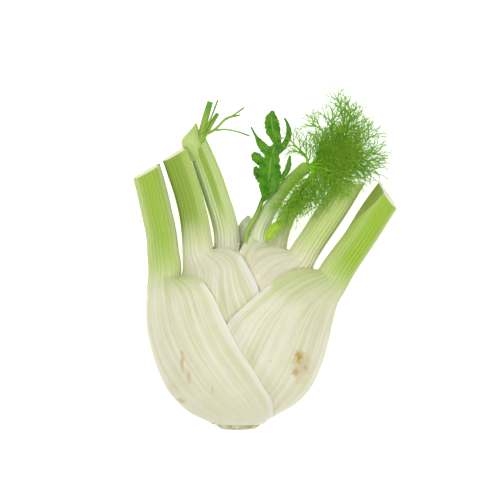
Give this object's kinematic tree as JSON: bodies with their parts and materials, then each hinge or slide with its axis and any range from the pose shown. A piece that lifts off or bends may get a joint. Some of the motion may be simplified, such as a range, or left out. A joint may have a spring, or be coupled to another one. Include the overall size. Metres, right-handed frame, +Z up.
{
  "type": "fennel bulb",
  "caption": "Trimmed fennel bulb lying on its flat side, with overlapping ribbed white sheaths, cut green stalks and a feathery frond.",
  "frame": {"origin": "middle of the small flat spot under the bulb, on which it rests", "axes": "+X to the bulb's right, +Y along the bulb from the root end towards the stalks, +Z up, away from the flat spot"},
  "size_m": [0.1382, 0.1798, 0.0613],
  "materials": {
    "sheath_left": "satin",
    "sheath_right": "satin",
    "sheath_second": "satin",
    "sheath_third": "satin",
    "sheath_beige": "satin",
    "sheath_inner": "satin",
    "root": "matt",
    "pale_stalk": "satin",
    "dark_blade": "glossy",
    "bright_blade": "satin",
    "pale_tip": "matt",
    "stub": "satin",
    "thread": "satin"
  },
  "bodies": {
    "root": {"left_outer_leaf": "sheath_left", "right_outer_leaf": "sheath_right", "left_second_leaf": "sheath_second", "left_third_leaf": "sheath_third", "right_second_leaf": "sheath_beige", "right_inner_leaf": "sheath_inner", "root_plate": "root", "frond_stalk": "pale_stalk", "leaf_dark": "dark_blade", "leaflet_small": "bright_blade", "sheath_back_tip": "pale_tip", "frond_stubs": "stub", "frond": "thread"}
  },
  "joints": []
}
